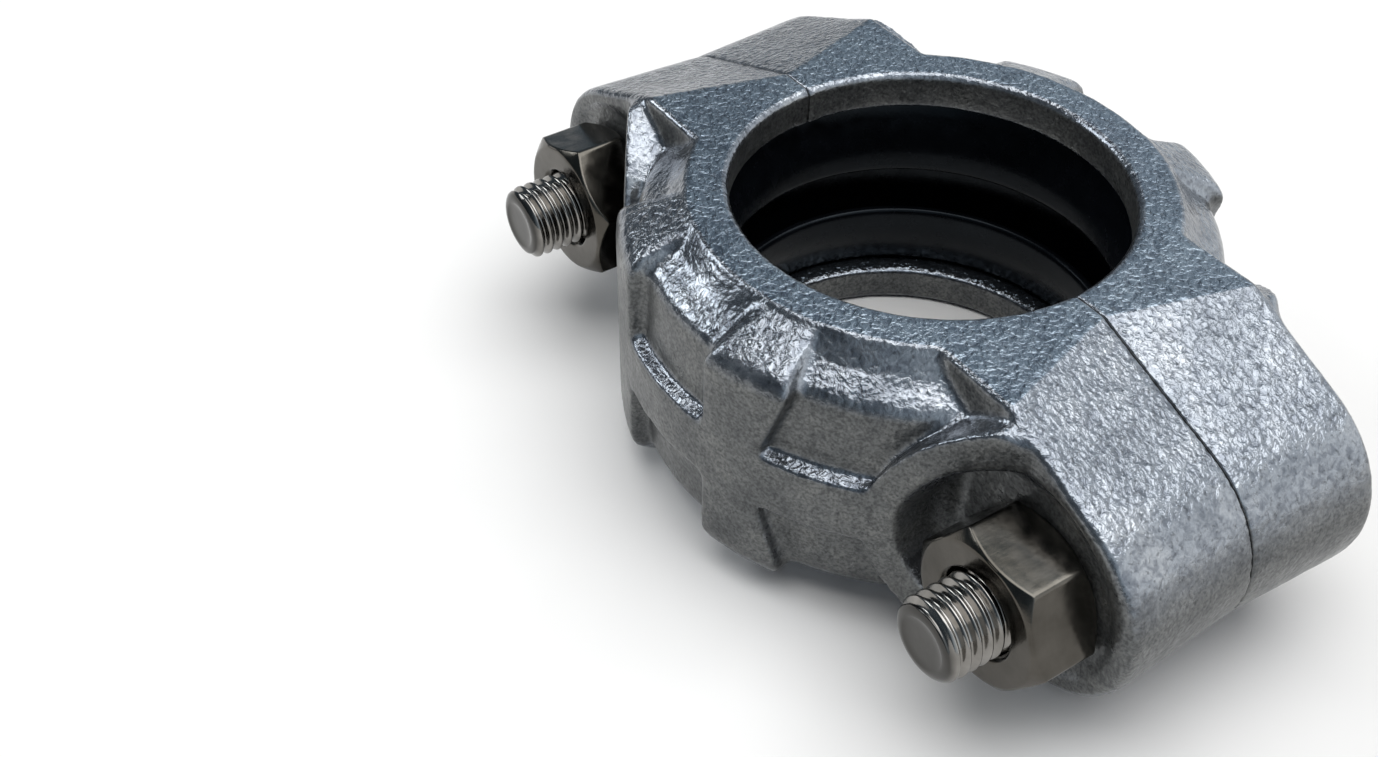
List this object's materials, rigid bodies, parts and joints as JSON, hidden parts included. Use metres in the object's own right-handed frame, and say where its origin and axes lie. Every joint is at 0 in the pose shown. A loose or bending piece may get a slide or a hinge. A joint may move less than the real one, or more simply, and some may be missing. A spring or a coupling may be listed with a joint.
{
  "type": "grooved pipe coupling",
  "caption": "Two-piece bolted clamp housing with a C-section rubber gasket, which joins and seals two pipe ends that have rolled grooves.",
  "frame": {"origin": "centre of the bore, halfway between the two side faces, on the plane where the two halves meet", "axes": "+Z along the pipe, out of the upper side face; +X from the left bolt to the right bolt; +Y from the half with the nuts to the half with the bolt heads"},
  "size_m": [0.1342, 0.09, 0.045],
  "materials": {
    "galvanised_casting": "hot-dip galvanised, rough cast, grey-blue sheen",
    "black_rubber": "moulded, satin",
    "stainless_bolt": "rolled thread, semi-bright",
    "stainless_nut": "machined, dark grey-brown"
  },
  "bodies": {
    "near_half": {"near_housing": "galvanised_casting"},
    "far_half": {"far_housing": "galvanised_casting"},
    "seal": {"gasket": "black_rubber"},
    "left_bolt_body": {"left_bolt": "stainless_bolt"},
    "right_bolt_body": {"right_bolt": "stainless_bolt"},
    "left_nut_body": {"left_nut": "stainless_nut"},
    "right_nut_body": {"right_nut": "stainless_nut"}
  },
  "joints": [
    {"name": "far_half_slide", "type": "slide", "parent": "near_half", "child": "far_half", "axis": [0, 1, 0], "range_m": [0, 0.00788]},
    {"name": "left_bolt_slide", "type": "slide", "parent": "near_half", "child": "left_bolt_body", "axis": [0, 1, 0], "range_m": [0, 0.00788]},
    {"name": "right_bolt_slide", "type": "slide", "parent": "near_half", "child": "right_bolt_body", "axis": [0, 1, 0], "range_m": [0, 0.00788]},
    {"name": "left_nut_spin", "type": "hinge", "parent": "near_half", "child": "left_nut_body", "pos_m": [-0.0503, 0, 0], "axis": [0, -1, 0], "range_deg": [0, 1620]},
    {"name": "right_nut_spin", "type": "hinge", "parent": "near_half", "child": "right_nut_body", "pos_m": [0.0503, 0, 0], "axis": [0, -1, 0], "range_deg": [0, 1620]},
    {"name": "gasket_slide", "type": "slide", "parent": "near_half", "child": "seal", "axis": [0, 1, 0], "range_m": [0, 0.00394]}
  ],
  "couplings": [
    {"joint": "left_bolt_slide", "follows": "far_half_slide", "ratio": 1},
    {"joint": "right_bolt_slide", "follows": "far_half_slide", "ratio": 1},
    {"joint": "left_nut_spin", "follows": "far_half_slide", "rad_per_m": 3590.4},
    {"joint": "right_nut_spin", "follows": "far_half_slide", "rad_per_m": 3590.4},
    {"joint": "gasket_slide", "follows": "far_half_slide", "ratio": 0.5}
  ]
}
